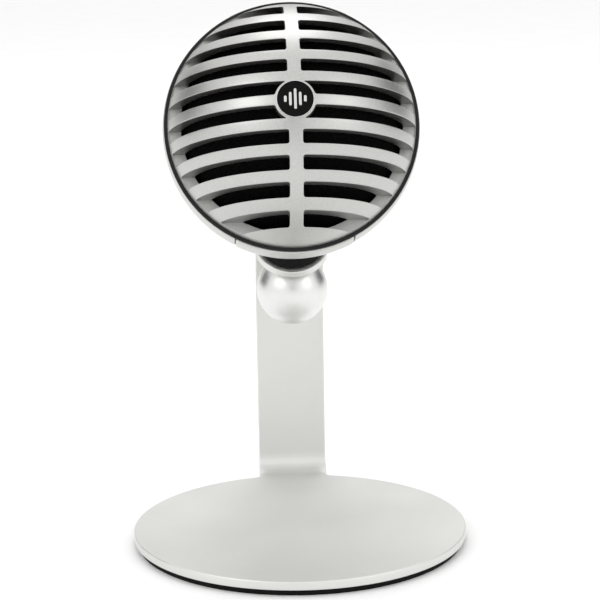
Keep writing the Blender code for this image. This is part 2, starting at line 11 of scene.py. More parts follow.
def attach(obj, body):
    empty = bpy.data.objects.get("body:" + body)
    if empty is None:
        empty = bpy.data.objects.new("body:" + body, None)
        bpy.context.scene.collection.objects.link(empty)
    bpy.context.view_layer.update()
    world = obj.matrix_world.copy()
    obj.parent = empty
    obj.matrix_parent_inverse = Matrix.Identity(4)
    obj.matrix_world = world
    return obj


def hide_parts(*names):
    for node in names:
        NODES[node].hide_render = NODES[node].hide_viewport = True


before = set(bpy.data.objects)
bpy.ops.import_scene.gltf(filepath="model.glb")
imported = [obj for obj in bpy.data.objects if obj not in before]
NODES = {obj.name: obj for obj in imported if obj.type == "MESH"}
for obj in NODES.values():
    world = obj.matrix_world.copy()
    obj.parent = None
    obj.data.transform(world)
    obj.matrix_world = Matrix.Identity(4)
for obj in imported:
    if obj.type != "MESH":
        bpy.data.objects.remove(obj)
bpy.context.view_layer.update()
MM = 0.001

# ---------------------------------------------------------------- sizes, the same as the CAD model's
HEAD = Vector((0.0, 13.7, 109.12))
PITCH = 22.05
SHEET, DISC_R, DISC_BOTTOM, HALF = 2.3, 44.5, 1.7, 9.6
FOOT_BEND, UPRIGHT, ARCH = 5.0, 49.8, 20.0
STRAP_R, SEAL_R, SHELL_R, GRILLE_R = 34.2, 33.6, 34.0, 33.0
LINE_LENGTH = STRAP_R + 0.6 + 0.9 + SHEET + ARCH
ARCH_Y = UPRIGHT - ARCH
ARCH_Z = HEAD.z - math.sqrt(LINE_LENGTH**2 - (ARCH_Y - HEAD.y) ** 2)
LINE_ANGLE = math.asin((ARCH_Y - HEAD.y) / LINE_LENGTH)
HEAD_M = Matrix.Translation(HEAD * MM) @ Matrix.Rotation(math.radians(-PITCH), 4, "X") @ Matrix.Scale(MM, 4)
LINE_M = Matrix.Translation(Vector((0, ARCH_Y, ARCH_Z)) * MM) @ Matrix.Rotation(LINE_ANGLE, 4, "X") @ Matrix.Scale(MM, 4)
WORLD_M = Matrix.Scale(MM, 4)
BALL_R, BALL_FLAT = 9.75, 8.0
BALL_TOP = ARCH - 1.9
BALL_AT = BALL_TOP - BALL_FLAT


# ---------------------------------------------------------------- node helpers
class Nodes:
    """Short hand for building one procedural material."""

    def __init__(self, name, **constants):
        self.material = bpy.data.materials.new(name)
        self.material.use_nodes = True
        self.tree = self.material.node_tree
        self.shader = self.tree.nodes["Principled BSDF"]
        self.coords = self.tree.nodes.new("ShaderNodeTexCoord").outputs["Object"]
        for key, value in constants.items():
            self.shader.inputs[key.replace("_", " ")].default_value = value

    def add(self, kind, inputs=None, **settings):
        node = self.tree.nodes.new(kind)
        for key, value in settings.items():
            setattr(node, key, value)
        for key, value in (inputs or {}).items():
            if isinstance(value, bpy.types.NodeSocket):
                self.tree.links.new(value, node.inputs[key])
            else:
                node.inputs[key].default_value = value
        return node

    def noise(self, scale, detail=3.0, rough=0.55, at=None, distortion=0.0):
        node = self.add("ShaderNodeTexNoise", {"Scale": scale, "Detail": detail, "Roughness": rough, "Distortion": distortion, "Vector": at or self.coords})
        return node.outputs["Fac"]

    def cells(self, scale, feature="F1", at=None, out="Distance"):
        node = self.add("ShaderNodeTexVoronoi", {"Scale": scale, "Vector": at or self.coords}, feature=feature)
        return node.outputs[out]

    def stretch(self, x, y, z):
        return self.add("ShaderNodeMapping", {"Vector": self.coords, "Scale": (x, y, z)}).outputs["Vector"]

    def ranged(self, value, low, high, start=0.3, end=0.7):
        node = self.add("ShaderNodeMapRange", {"Value": value, "From Min": start, "From Max": end, "To Min": low, "To Max": high})
        return node.outputs["Result"]

    def maths(self, operation, a, b):
        return self.add("ShaderNodeMath", {0: a, 1: b}, operation=operation).outputs["Value"]

    def colour(self, value, dark, light, start=0.3, end=0.7):
        node = self.add("ShaderNodeValToRGB", {"Fac": value})
        node.color_ramp.elements[0].position, node.color_ramp.elements[1].position = start, end
        node.color_ramp.elements[0].color, node.color_ramp.elements[1].color = (*dark, 1), (*light, 1)
        self.tree.links.new(node.outputs["Color"], self.shader.inputs["Base Color"])
        return node.outputs["Color"]

    def rough(self, value, low, high, start=0.3, end=0.7):
        self.tree.links.new(self.ranged(value, low, high, start, end), self.shader.inputs["Roughness"])

    def bump(self, height, distance, strength=1.0):
        node = self.add("ShaderNodeBump", {"Height": height, "Distance": distance, "Strength": strength})
        self.tree.links.new(node.outputs["Normal"], self.shader.inputs["Normal"])


def satin_sheet():
    """Clear-anodised sheet: fine blasted grain, faint wear, a little cooler and warmer in patches."""
    n = Nodes("anodised_sheet", Metallic=1.0, IOR=1.5)
    grain = n.noise(5200.0, 2.0, 0.6)
    cloud = n.noise(34.0, 3.0, 0.5)
    n.colour(n.maths("ADD", n.maths("MULTIPLY", grain, 0.35), n.maths("MULTIPLY", cloud, 0.65)), (0.73, 0.735, 0.71), (0.80, 0.80, 0.78))
    n.rough(n.maths("ADD", n.maths("MULTIPLY", grain, 0.5), n.maths("MULTIPLY", cloud, 0.5)), 0.44, 0.54)
    n.bump(grain, 0.000012, 0.55)
    return n.material


def turned_ball():
    """Fine-turned aluminium: rings round the axis, polished soft."""
    n = Nodes("turned_aluminium", Metallic=1.0)
    rings = n.noise(2600.0, 2.0, 0.6, at=n.stretch(0.02, 0.02, 1.0))
    grain = n.noise(4200.0, 2.0)
    cloud = n.noise(90.0, 3.0)
    mixed = n.maths("ADD", n.maths("MULTIPLY", rings, 0.6), n.maths("MULTIPLY", grain, 0.4))
    n.colour(cloud, (0.77, 0.77, 0.76), (0.84, 0.84, 0.83))
    n.rough(mixed, 0.30, 0.40)
    n.bump(mixed, 0.000006, 0.5)
    return n.material


def silver_paint(name="silver_paint", light=(0.60, 0.60, 0.582), dark=(0.50, 0.50, 0.486)):
    """Fine metallic paint: flakes that tilt a little, orange peel."""
    n = Nodes(name, Metallic=0.88, Coat_Weight=0.12, Coat_Roughness=0.3)
    flakes = n.cells(5200.0, out="Color")
    flake_value = n.add("ShaderNodeSeparateColor", {"Color": flakes}).outputs["Red"]
    peel = n.noise(900.0, 2.0, 0.5)
    cloud = n.noise(60.0, 3.0, 0.5)
    mixed = n.maths("ADD", n.maths("MULTIPLY", flake_value, 0.6), n.maths("MULTIPLY", cloud, 0.4))
    n.colour(mixed, dark, light, 0.15, 0.85)
    n.rough(mixed, 0.34, 0.46, 0.2, 0.8)
    n.bump(n.maths("ADD", n.maths("MULTIPLY", flake_value, 0.5), peel), 0.000014, 0.6)
    return n.material


def rubber(name, dark, light, roughness=(0.55, 0.75), scale=2600.0, depth=0.00003, shine=0.35):
    n = Nodes(name, Metallic=0.0, Specular_IOR_Level=shine)
    grain = n.noise(scale, 4.0, 0.6)
    cloud = n.noise(120.0, 3.0)
    n.colour(n.maths("ADD", n.maths("MULTIPLY", grain, 0.5), n.maths("MULTIPLY", cloud, 0.5)), dark, light)
    n.rough(cloud, *roughness)
    n.bump(grain, depth, 0.5)
    return n.material


def foam_black():
    """Open-cell acoustic foam: pores of about half a millimetre."""
    n = Nodes("acoustic_foam", Metallic=0.0, Specular_IOR_Level=0.02)
    pores = n.cells(1900.0)
    fine = n.noise(6000.0, 3.0)
    n.colour(pores, (0.0015, 0.0015, 0.0015), (0.0065, 0.006, 0.006), 0.05, 0.6)
    n.rough(fine, 0.9, 1.0)
    n.bump(n.maths("ADD", pores, n.maths("MULTIPLY", fine, 0.3)), 0.0003, 0.9)
    return n.material


def plastic(name, dark, light, roughness=(0.36, 0.5), scale=4200.0, depth=0.00002, **constants):
    n = Nodes(name, Metallic=0.0, **constants)
    grain = n.noise(scale, 2.0, 0.5)
    cloud = n.noise(150.0, 3.0)
    n.colour(n.maths("ADD", n.maths("MULTIPLY", grain, 0.4), n.maths("MULTIPLY", cloud, 0.6)), dark, light)
    n.rough(n.maths("ADD", n.maths("MULTIPLY", grain, 0.5), n.maths("MULTIPLY", cloud, 0.5)), *roughness)
    n.bump(grain, depth, 0.6)
    return n.material


def metal(name, dark, light, roughness=(0.22, 0.34), stretch=(1.0, 1.0, 1.0), depth=0.000006):
    n = Nodes(name, Metallic=1.0)
    grain = n.noise(3600.0, 3.0, 0.6, at=n.stretch(*stretch))
    cloud = n.noise(160.0, 3.0)
    n.colour(n.maths("ADD", n.maths("MULTIPLY", grain, 0.4), n.maths("MULTIPLY", cloud, 0.6)), dark, light)
    n.rough(n.maths("ADD", n.maths("MULTIPLY", grain, 0.6), n.maths("MULTIPLY", cloud, 0.4)), *roughness)
    n.bump(grain, depth, 0.6)
    return n.material


def circuit_board():
    """Green solder mask with fine tracks."""
    n = Nodes("circuit_board", Metallic=0.0, Coat_Weight=0.3, Coat_Roughness=0.15)
    tracks = n.add("ShaderNodeTexBrick", {"Vector": n.stretch(1.0, 1.0, 1.0), "Scale": 420.0, "Mortar Size": 0.045, "Color1": (0.008, 0.075, 0.03, 1), "Color2": (0.010, 0.090, 0.036, 1), "Mortar": (0.03, 0.17, 0.07, 1)})
    n.tree.links.new(tracks.outputs["Color"], n.shader.inputs["Base Color"])
    grain = n.noise(2200.0, 3.0)
    n.rough(grain, 0.28, 0.42)
    n.bump(n.maths("ADD", n.maths("MULTIPLY", grain, 0.2), tracks.outputs["Fac"]), 0.00002, 0.5)
    return n.material


M = {
    "sheet": satin_sheet(),
    "ball": turned_ball(),
    "paint": silver_paint(),
    "paint_back": silver_paint("silver_paint_back", (0.66, 0.66, 0.64), (0.55, 0.55, 0.535)),
    # Darker copy of the silver paint for the grille's side walls and bar undersides: painted shade standing in for the
    # shade down inside the slots.
    "paint_wall_shade": silver_paint("silver_paint_painted_wall_shade", (0.38, 0.38, 0.368), (0.27, 0.27, 0.262)),
    "foot": rubber("foot_rubber", (0.004, 0.004, 0.004), (0.009, 0.009, 0.009), shine=0.10),
    "saddle": rubber("saddle_rubber", (0.003, 0.003, 0.003), (0.008, 0.0075, 0.0075), (0.5, 0.66), shine=0.12),
    "seal": rubber("seal_rubber", (0.008, 0.008, 0.008), (0.018, 0.018, 0.018), (0.45, 0.62), shine=0.22),
    "foam": foam_black(),
    "enamel": plastic("badge_enamel", (0.002, 0.002, 0.002), (0.005, 0.005, 0.005), (0.30, 0.40), 900.0, 0.000003, Specular_IOR_Level=0.08),
    "badge": metal("badge_plating", (0.66, 0.66, 0.65), (0.76, 0.76, 0.75), (0.16, 0.26)),
    "panel": plastic("panel_plastic", (0.016, 0.016, 0.017), (0.026, 0.026, 0.028)),
    "wheel": plastic("wheel_plastic", (0.020, 0.020, 0.021), (0.032, 0.032, 0.034), (0.38, 0.55)),
    "button": rubber("button_rubber", (0.035, 0.035, 0.036), (0.052, 0.052, 0.054), (0.5, 0.65), 3600.0, 0.00002),
    "mark": plastic("printed_mark", (0.60, 0.60, 0.60), (0.70, 0.70, 0.70), (0.5, 0.6)),
    "jack": plastic("jack_plastic", (0.010, 0.010, 0.011), (0.016, 0.016, 0.018), (0.22, 0.34)),
    "nickel": metal("nickel_plate", (0.52, 0.52, 0.50), (0.64, 0.64, 0.62)),
    "zinc": metal("zinc_plate", (0.42, 0.42, 0.41), (0.56, 0.56, 0.55), (0.28, 0.42)),
    "brass": metal("machined_brass", (0.60, 0.42, 0.17), (0.72, 0.52, 0.24), (0.22, 0.36)),
    "gold": metal("contact_gold", (0.72, 0.50, 0.18), (0.84, 0.62, 0.26), (0.2, 0.3)),
    "nylon": plastic("natural_nylon", (0.56, 0.55, 0.50), (0.68, 0.66, 0.61), (0.45, 0.6), Subsurface_Weight=0.08),
    "chassis": plastic("chassis_nylon", (0.012, 0.012, 0.012), (0.022, 0.022, 0.022), (0.5, 0.7), 3000.0, 0.00004),
    "lamp": plastic("light_pipe", (0.55, 0.66, 0.70), (0.68, 0.78, 0.82), (0.10, 0.2), 1200.0, 0.000004, Coat_Weight=0.5),
    "board": circuit_board(),
    "cup": rubber("capsule_rubber", (0.012, 0.012, 0.012), (0.024, 0.024, 0.024)),
    "lead": plastic("lead_jacket", (0.010, 0.010, 0.010), (0.018, 0.018, 0.018), (0.35, 0.5)),
}


# ---------------------------------------------------------------- mesh helpers, drawn in millimetres
def finish(name, mesh_edit, matrix, material, body, replaces=(), sharp=None, weighted=True):
    """Places the edit mesh, gives it its material and hands it to its body."""
    bmesh.ops.recalc_face_normals(mesh_edit, faces=mesh_edit.faces[:])
    if mesh_edit.calc_volume(signed=True) < 0:
        bmesh.ops.reverse_faces(mesh_edit, faces=mesh_edit.faces[:])
    mesh = bpy.data.meshes.new(name)
    mesh_edit.to_mesh(mesh)
    mesh_edit.free()
    loc_rot = Matrix.Translation(matrix.translation) @ matrix.to_quaternion().to_matrix().to_4x4()
    mesh.transform(Matrix.Scale(MM, 4))
    mesh.shade_smooth()
    if sharp:
        mesh.set_sharp_from_angle(angle=math.radians(sharp))
    mesh.materials.append(material)
    made = bpy.data.objects.new(name, mesh)
    bpy.context.scene.collection.objects.link(made)
    if matrix is LINE_M:
        made.matrix_world = loc_rot
    else:
        mesh.transform(loc_rot)
    if weighted:
        modifier = made.modifiers.new("even_normals", "WEIGHTED_NORMAL")
        modifier.keep_sharp = True
        modifier.weight = 60
    bpy.context.view_layer.update()
    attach(made, body)
    if replaces:
        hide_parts(*replaces)
    return made


def arc(radius, start, end, count, centre=(0.0, 0.0)):
    """Points (across, along), angles in degrees from the along axis."""
    turns = [math.radians(start + (end - start) * k / count) for k in range(count + 1)]
    return [(centre[0] + radius * math.sin(a), centre[1] + radius * math.cos(a)) for a in turns]


def rounded(points, radii, count=4):
    """A closed outline with each corner turned into a short curve; radii is one number or one per corner."""
    whole = []
    total = len(points)
    for k, corner in enumerate(points):
        reach = radii[k] if isinstance(radii, (list, tuple)) else radii
        before, after = Vector(points[k - 1]), Vector(points[(k + 1) % total])
        here = Vector(corner)
        if reach <= 0:
            whole.append(tuple(here))
            continue
        a = (before - here).normalized() * min(reach, (before - here).length * 0.49)
        b = (after - here).normalized() * min(reach, (after - here).length * 0.49)
        for step in range(count + 1):
            t = step / count
            spot = here + a * (1 - t) ** 2 + b * t**2
            whole.append(tuple(spot))
    return whole


def turned(profile, segments, axis="Z", made=None, at=(0.0, 0.0)):
    """A solid turned from a closed outline of (radius, height) points."""
    made = made or bmesh.new()
    rings = []
    for radius, height in profile:
        ring = []
        for k in range(segments if radius > 1e-6 else 1):
            turn = 2 * math.pi * k / segments
            a, b = radius * math.cos(turn) + at[0], radius * math.sin(turn) + at[1]
            ring.append(made.verts.new((a, b, height) if axis == "Z" else (a, height, b)))
        rings.append(ring)
    for here, there in zip(rings, rings[1:] + rings[:1]):
        if len(here) == 1 and len(there) == 1:
            continue
        for k in range(segments):
            face = []
            for corner in (here[k % len(here)], here[(k + 1) % len(here)], there[(k + 1) % len(there)], there[k % len(there)]):
                if corner not in face:
                    face.append(corner)
            made.faces.new(face)
    return made


def moved(loop, amount):
    """The closed loop shifted to its left by amount, along its own corner normals."""
    shifted = []
    total = len(loop)
    for k in range(total):
        before, here, after = Vector(loop[k - 1]), Vector(loop[k]), Vector(loop[(k + 1) % total])
        one, two = (here - before).normalized(), (after - here).normalized()
        normal = Vector((-(one.y + two.y), one.x + two.x))
        if normal.length < 1e-9:
            normal = Vector((-one.y, one.x))
        normal.normalize()
        stretch = 1.0 / max(0.5, normal.dot(Vector((-one.y, one.x))))
        shifted.append(tuple(here + normal * amount * stretch))
    return shifted


def area(loop):
    return 0.5 * sum(a[0] * b[1] - b[0] * a[1] for a, b in zip(loop, loop[1:] + loop[:1]))


def plate(outline, holes, thick, top, bottom, steps=4, cuts_x=(), cuts_y=()):
    """A flat plate with rounded edges, drawn as (x, y, depth under the show face), cut on a grid so that it can be bent."""
    made = bmesh.new()
    loops = [outline if area(outline) > 0 else outline[::-1]]
    loops += [hole if area(hole) < 0 else hole[::-1] for hole in holes]
    stations = []
    for k in range(steps + 1):
        turn = math.pi / 2 * k / steps
        stations.append((top * (1 - math.sin(turn)), top * (1 - math.cos(turn))))
    for k in range(steps + 1):
        turn = math.pi / 2 * k / steps
        stations.append((bottom * (1 - math.cos(turn)), thick - bottom * (1 - math.sin(turn))))
    caps = [[], []]
    for loop in loops:
        rings = []
        for inset, depth in stations:
            rings.append([made.verts.new((x, y, depth)) for x, y in moved(loop, inset)])
        total = len(loop)
        for here, there in zip(rings, rings[1:]):
            for k in range(total):
                made.faces.new((here[k], here[(k + 1) % total], there[(k + 1) % total], there[k]))
        for which, ring in ((0, rings[0]), (1, rings[-1])):
            caps[which] += [made.edges.get((ring[k], ring[(k + 1) % total])) for k in range(total)]
    for edges in caps:
        bmesh.ops.triangle_fill(made, edges=edges, use_beauty=True, use_dissolve=False, normal=(0, 0, 1))
    for cuts, normal in ((cuts_x, (1, 0, 0)), (cuts_y, (0, 1, 0))):
        for cut in cuts:
            spot = (cut, 0, 0) if normal[0] else (0, cut, 0)
            bmesh.ops.bisect_plane(made, geom=made.verts[:] + made.edges[:] + made.faces[:], dist=1e-5, plane_co=spot, plane_no=normal)
    bmesh.ops.triangulate(made, faces=[f for f in made.faces if len(f.verts) > 4])
    return made


def spread(low, high, step):
    count = max(1, round((high - low) / step))
    return [low + (high - low) * k / count for k in range(count + 1)]


def smoothstep(value, low, high):
    t = min(1.0, max(0.0, (value - low) / (high - low)))
    return t * t * (3 - 2 * t)


def along_path(points, step=0.35):
    """The open line resampled at even spacing."""
    points = [Vector(p) for p in points]
    lengths = [0.0]
    for a, b in zip(points, points[1:]):
        lengths.append(lengths[-1] + (b - a).length)
    count = max(2, round(lengths[-1] / step))
    whole = []
    k = 0
    for j in range(count + 1):
        want = lengths[-1] * j / count
        while k < len(points) - 2 and lengths[k + 1] < want:
            k += 1
        span = max(1e-9, lengths[k + 1] - lengths[k])
        whole.append(points[k].lerp(points[k + 1], (want - lengths[k]) / span))
    return whole


def joined(sides, reaches, count=5):
    """Closes open sides into one outline and rounds the corner after each side over its reach."""
    trimmed = []
    total = len(sides)
    sides = [along_path(side) for side in sides]
    for k, side in enumerate(sides):
        start, end = reaches[k - 1], reaches[k]
        first, last = side[0], side[-1]
        kept = [p for p in side if (p - first).length > start * 1.15 and (p - last).length > end * 1.15]
        dense = along_path(side, 0.02)
        lead = min(dense, key=lambda p: abs((p - first).length - start))
        tail = min(dense[::-1], key=lambda p: abs((p - last).length - end))
        trimmed.append([lead] + kept + [tail])
    whole = []
    for k, side in enumerate(trimmed):
        whole += side
        corner = sides[k][-1]
        a, b = side[-1], trimmed[(k + 1) % total][0]
        for step in range(1, count):
            t = step / count
            whole.append(a * (1 - t) ** 2 + corner * 2 * t * (1 - t) + b * t**2)
    return [tuple(p) for p in whole]


# ---------------------------------------------------------------- stand: one sheet, drawn flat and bent
ARCH_MEAN, BEND_MEAN = ARCH + SHEET / 2, FOOT_BEND + SHEET / 2
BEND_START = UPRIGHT - FOOT_BEND
DISC_TOP = DISC_BOTTOM + SHEET
BEND_END = BEND_START + BEND_MEAN * math.pi / 2
ARCH_START = BEND_END + ARCH_Z - (DISC_TOP + FOOT_BEND)
LINE_AT = ARCH_START + ARCH_MEAN * (math.pi / 2 + LINE_ANGLE)
SLOT_FRONT = LINE_AT + ARCH_MEAN * math.radians(7.7)
SLOT_REAR = LINE_AT - ARCH_MEAN * math.radians(25.7)


def bent(co):
    x, along, depth = co
    if along <= BEND_START:
        return Vector((x, along, DISC_TOP - depth))
    if along <= BEND_END:
        turn = (along - BEND_START) / BEND_MEAN
        reach = FOOT_BEND + depth
        return Vector((x, BEND_START + reach * math.sin(turn), DISC_TOP + FOOT_BEND - reach * math.cos(turn)))
    if along <= ARCH_START:
        return Vector((x, UPRIGHT + depth, DISC_TOP + FOOT_BEND + along - BEND_END))
    turn = (along - ARCH_START) / ARCH_MEAN
    reach = ARCH + depth
    return Vector((x, ARCH_Y + reach * math.cos(turn), ARCH_Z + reach * math.sin(turn)))


def stand():
    neck = 1.6
    corner = math.degrees(math.asin((HALF + neck) / DISC_R))
    outline = arc(DISC_R, corner, 360 - corner, 220)
    tab = BEND_START - 0.2
    a, b, c = Vector(outline[-1]), Vector((-HALF, 43.3)), Vector((-HALF, tab + 0.6))
    left = [tuple(a * (1 - t) ** 2 + b * 2 * t * (1 - t) + c * t**2) for t in [k / 6 for k in range(1, 7)]]
    outline += left
    outline += [(-HALF, y) for y in spread(tab + 2.0, LINE_AT - 1.0, 2.0)]
    outline += arc(HALF, -90, 90, 48, (0.0, LINE_AT - 0.25))
    outline += [(HALF, y) for y in spread(tab + 2.0, LINE_AT - 1.0, 2.0)[::-1]]
    outline += [(-x, y) for x, y in left[::-1]]
    slot = arc(3.5, -90, 90, 20, (0.0, SLOT_FRONT)) + arc(3.5, 90, 270, 20, (0.0, SLOT_REAR))
    cuts_y = spread(BEND_START, BEND_END, 0.8) + spread(ARCH_START, LINE_AT + HALF - 0.4, 1.2)
    cuts_y += spread(BEND_END + 4, ARCH_START - 4, 6.0) + spread(-42, 42, 6.0)
    made = plate(outline, [slot], SHEET, 0.32, 0.25, 4, cuts_x=spread(-42, 42, 6.0), cuts_y=cuts_y)
    for vert in made.verts:
        vert.co = bent(vert.co)
    return made


finish("bent_stand", stand(), WORLD_M, M["sheet"], "stand", ["stand_frame"])
pad_outline = rounded([(0, 0), (43.4, 0), (43.4, 1.4), (0, 1.4)], [0, 0.3, 0.25, 0])
pad_outline = [(0, 0.0), (10, 0.0), (20, 0.0), (30, 0.0), (38, 0.0)] + pad_outline[1:-1] + [(30, 1.4), (15, 1.4), (0, 1.4)]
finish("foot_pad", turned(pad_outline, 192), WORLD_M, M["foot"], "stand", ["base_pad"])


# ---------------------------------------------------------------- saddle, washer, stud and ball
def saddle():
    half = 8.7
    outline = [(x, -y) for x, y in arc(half, -90, 90, 40)] + rounded([(half, 4.0), (half, 9.7), (-half, 9.7), (-half, 4.0)], [0, 1.6, 1.6, 0], 6)
    hole = arc(3.4, 0, 351, 39)
    thick = 10.0
    made = plate(outline, [hole], thick, 0.35, 0.3, 3, cuts_x=spread(-8, 8, 1.0), cuts_y=spread(-8, 9, 1.0))
    for vert in made.verts:
        x, y, depth = vert.co
        high = LINE_LENGTH - math.sqrt((STRAP_R + 0.3) ** 2 - x * x - y * y)
        low = math.sqrt((ARCH + SHEET + 0.3) ** 2 - y * y)
        if depth <= 0.35:
            z = high - depth
        elif depth >= thick - 0.3:
            z = low + thick - depth
        else:
            z = high - 0.35 + (low + 0.3 - high + 0.35) * (depth - 0.35) / (thick - 0.65)
        vert.co = Vector((x, y, z))
    return made


finish("saddle", saddle(), LINE_M, M["saddle"], "saddle", ["saddle_pad"])

flat = math.degrees(math.acos(BALL_FLAT / BALL_R))
floor = BALL_AT - 3.5
ball = [(0, BALL_AT - BALL_R)] + arc(BALL_R, 178.5, flat + 2.5, 96, (0.0, BALL_AT))
ball += rounded([(5.75, BALL_TOP - 0.12), (5.2, BALL_TOP), (3.7, BALL_TOP), (3.3, BALL_TOP - 0.4)], 0.15, 3)
ball += [(3.3, floor + 0.3), (3.0, floor), (0, floor)]
finish("ball_knob", turned(ball, 160), LINE_M, M["ball"], "knob", ["clamp_knob"], sharp=40)

low = BALL_TOP + 0.2
start, end = math.degrees(math.asin(5.5 / 19.7)), math.degrees(math.asin(3.4 / 19.7))
washer = rounded([(3.4, low), (5.5, low)] + arc(19.7, start, end, 1), 0.15, 3)
finish("washer", turned(washer, 96), LINE_M, M["nylon"], "washer", ["clamp_washer"], sharp=50)


def threaded_rod(radius, low, high, pitch, depth, segments=48):
    """A rod with a real helical thread: its radius is read from how far round and along each point lies."""
    made = bmesh.new()
    rows = spread(low, high, pitch / 8)
    rings = []
    for z in rows:
        fade = min(1.0, (z - low) / (1.2 * pitch), (high - z) / (1.2 * pitch))
        ring = []
        for k in range(segments):
            phase = (z / pitch - k / segments) % 1.0
            wave = min(1.0, max(0.0, abs(phase - 0.5) * 2.6 - 0.15))
            r = radius - depth * wave * fade - depth * 0.9 * (1 - fade)
            turn = 2 * math.pi * k / segments
            ring.append(made.verts.new((r * math.cos(turn), r * math.sin(turn), z)))
        rings.append(ring)
    for here, there in zip(rings, rings[1:]):
        for k in range(segments):
            made.faces.new((here[k], here[(k + 1) % segments], there[(k + 1) % segments], there[k]))
    made.faces.new(rings[0][::-1])
    made.faces.new(rings[-1])
    return made


finish("threaded_stud", threaded_rod(3.0, floor + 0.35, LINE_LENGTH - 26.85, 1.27, 0.62), LINE_M, M["zinc"], "knob", ["clamp_stud"], sharp=50)

# ---------------------------------------------------------------- front grille
SLOT_FIRST, SLOT_PITCH, SLOT_HEIGHT = 1.364, 6.117, 3.388
ROWS = [(SLOT_FIRST + SLOT_PITCH * k, SLOT_FIRST + SLOT_PITCH * k + SLOT_HEIGHT) for k in range(5)]
SPINE, BOSS, END_R, SEAM = 1.72, 5.25, 32.3, 4.8
INSIDE_R, FLOOR_AT = 29.9, 6.0
DEPTH, EDGE, UNDER = 3.0, 0.18, 0.12
EDGE_TURN = math.asin(END_R / GRILLE_R)
RIM = GRILLE_R * (math.pi / 2 - math.asin(SEAM / GRILLE_R) - EDGE_TURN)


def slot_loop(z0, z1, side, flip):
    """One slot: spine side, lower wall, end on the rim circle, upper wall."""

    def near(z):
        return max(SPINE, math.sqrt(max(0.0, BOSS**2 - z * z)))

    def far(z):
        return math.sqrt(END_R**2 - z * z)

    lower = [(near(z0), z0), (far(z0), z0)]
    outer = [(far(z), z) for z in spread(z0, z1, 0.3)]
    upper = [(far(z1), z1), (near(z1), z1)]
    inner = [(near(z), z) for z in spread(z0, z1, 0.3)[::-1]]
    soft = 0.5 if z0 < BOSS else 0.65
    loop = joined([lower, outer, upper, inner], [0.25, 0.25, soft, soft])
    return [(x * side, z * flip) for x, z in loop]


def grille():
    """The dome: a flat slotted plate pressed onto the sphere, its bars as deep as the wall behind them."""
    outline = [(x, z) for x, z in arc(END_R + RIM, 0, 358.5, 239)]
    holes = [slot_loop(z0, z1, side, flip) for z0, z1 in ROWS for side in (-1, 1) for flip in (-1, 1)]
    meet = math.sqrt(INSIDE_R**2 - FLOOR_AT**2)
    feet = [math.sqrt(meet**2 - z * z) for row in ROWS for z in row]
    cuts = spread(-36, 36, 0.8)
    made = plate(outline, holes, DEPTH, EDGE, UNDER, 4, cuts_x=cuts + feet + [-x for x in feet], cuts_y=cuts)
    # Faces below the rounded front edge (the side walls of the slots and rim, and the bar undersides) take the darker
    # paint copy as material 1: painted shade in the recesses.
    for face in made.faces:
        depths = [vert.co.z for vert in face.verts]
        if min(depths) > EDGE - 1e-3 and max(depths) - min(depths) > 0.05:
            face.material_index = 1
    for vert in made.verts:
        x, z, depth = vert.co
        rho = math.hypot(x, z)
        if rho <= END_R:
            front = -math.sqrt(GRILLE_R**2 - rho * rho)
            back = -max(FLOOR_AT, math.sqrt(max(0.0, INSIDE_R**2 - rho * rho)))
            tall = back - front
            if depth <= EDGE:
                reach = depth
            elif depth >= DEPTH - UNDER:
                reach = tall - (DEPTH - depth)
            else:
                reach = EDGE + (tall - EDGE - UNDER) * (depth - EDGE) / (DEPTH - EDGE - UNDER)
            vert.co = Vector((x, front + reach, z))
            continue
        turn = EDGE_TURN + (rho - END_R) / GRILLE_R
        blend = min(1.0, (rho - END_R) / RIM)
        out = Vector((x / rho, 0, z / rho))
        surface = out * (GRILLE_R * math.sin(turn)) + Vector((0, -GRILLE_R * math.cos(turn), 0))
        behind = out * END_R + Vector((0, -FLOOR_AT + (FLOOR_AT - SEAM) * blend, 0))
        vert.co = surface.lerp(behind, depth / DEPTH)
    return made


dome = finish("slotted_grille", grille(), HEAD_M, M["paint"], "head", ["front_grille"])
# The darker paint copy goes in as the second material: painted shade on the slot walls.
dome.data.materials.append(M["paint_wall_shade"])
ledge = rounded([(29.05, -5.98), (32.38, -5.98), (32.38, -4.86), (29.05, -4.86)], [0.12, 0, 0, 0.1], 4)
finish("grille_ledge", turned(ledge, 240, "Y"), HEAD_M, M["paint"], "head", (), sharp=50)

# ---------------------------------------------------------------- badge with a plain level-bars mark
back = [(r, -math.sqrt(33.02**2 - r * r)) for r in (0, 1.2, 2.4, 3.4, 4.2, 4.7)]
badge = back + rounded([(4.75, -32.6), (4.75, -33.22), (4.61, -33.22), (4.61, -33.12)], [0, 0.05, 0.04, 0], 4) + [(2.2, -33.12), (0, -33.12)]
finish("badge_rim", turned(badge, 160, "Y"), HEAD_M, M["badge"], "head", ["badge_plate"], sharp=40)
inlay = [(0, -33.10), (4.605, -33.10), (4.605, -33.18), (4.57, -33.20), (4.4, -33.205), (2.2, -33.205), (0, -33.205)]
finish("badge_face", turned(inlay, 160, "Y"), HEAD_M, M["enamel"], "head", ["badge_inlay"], sharp=40)
for k, (x, tall) in enumerate(((-2.5, 1.7), (-1.25, 3.5), (0.0, 5.3), (1.25, 3.5), (2.5, 1.7))):
    bar = [(px + x, pz + tall / 2 - 0.33) for px, pz in arc(0.33, -90, 90, 14)] + [(px + x, pz - tall / 2 + 0.33) for px, pz in arc(0.33, 90, 270, 14)]
    made = plate(bar, [], 0.16, 0.04, 0.0, 2)
    for vert in made.verts:
        px, pz, depth = vert.co
        vert.co = Vector((px, -33.30 + depth, pz))
    finish(f"badge_bar_{k + 1}", made, HEAD_M, M["badge"], "head", (), sharp=50)


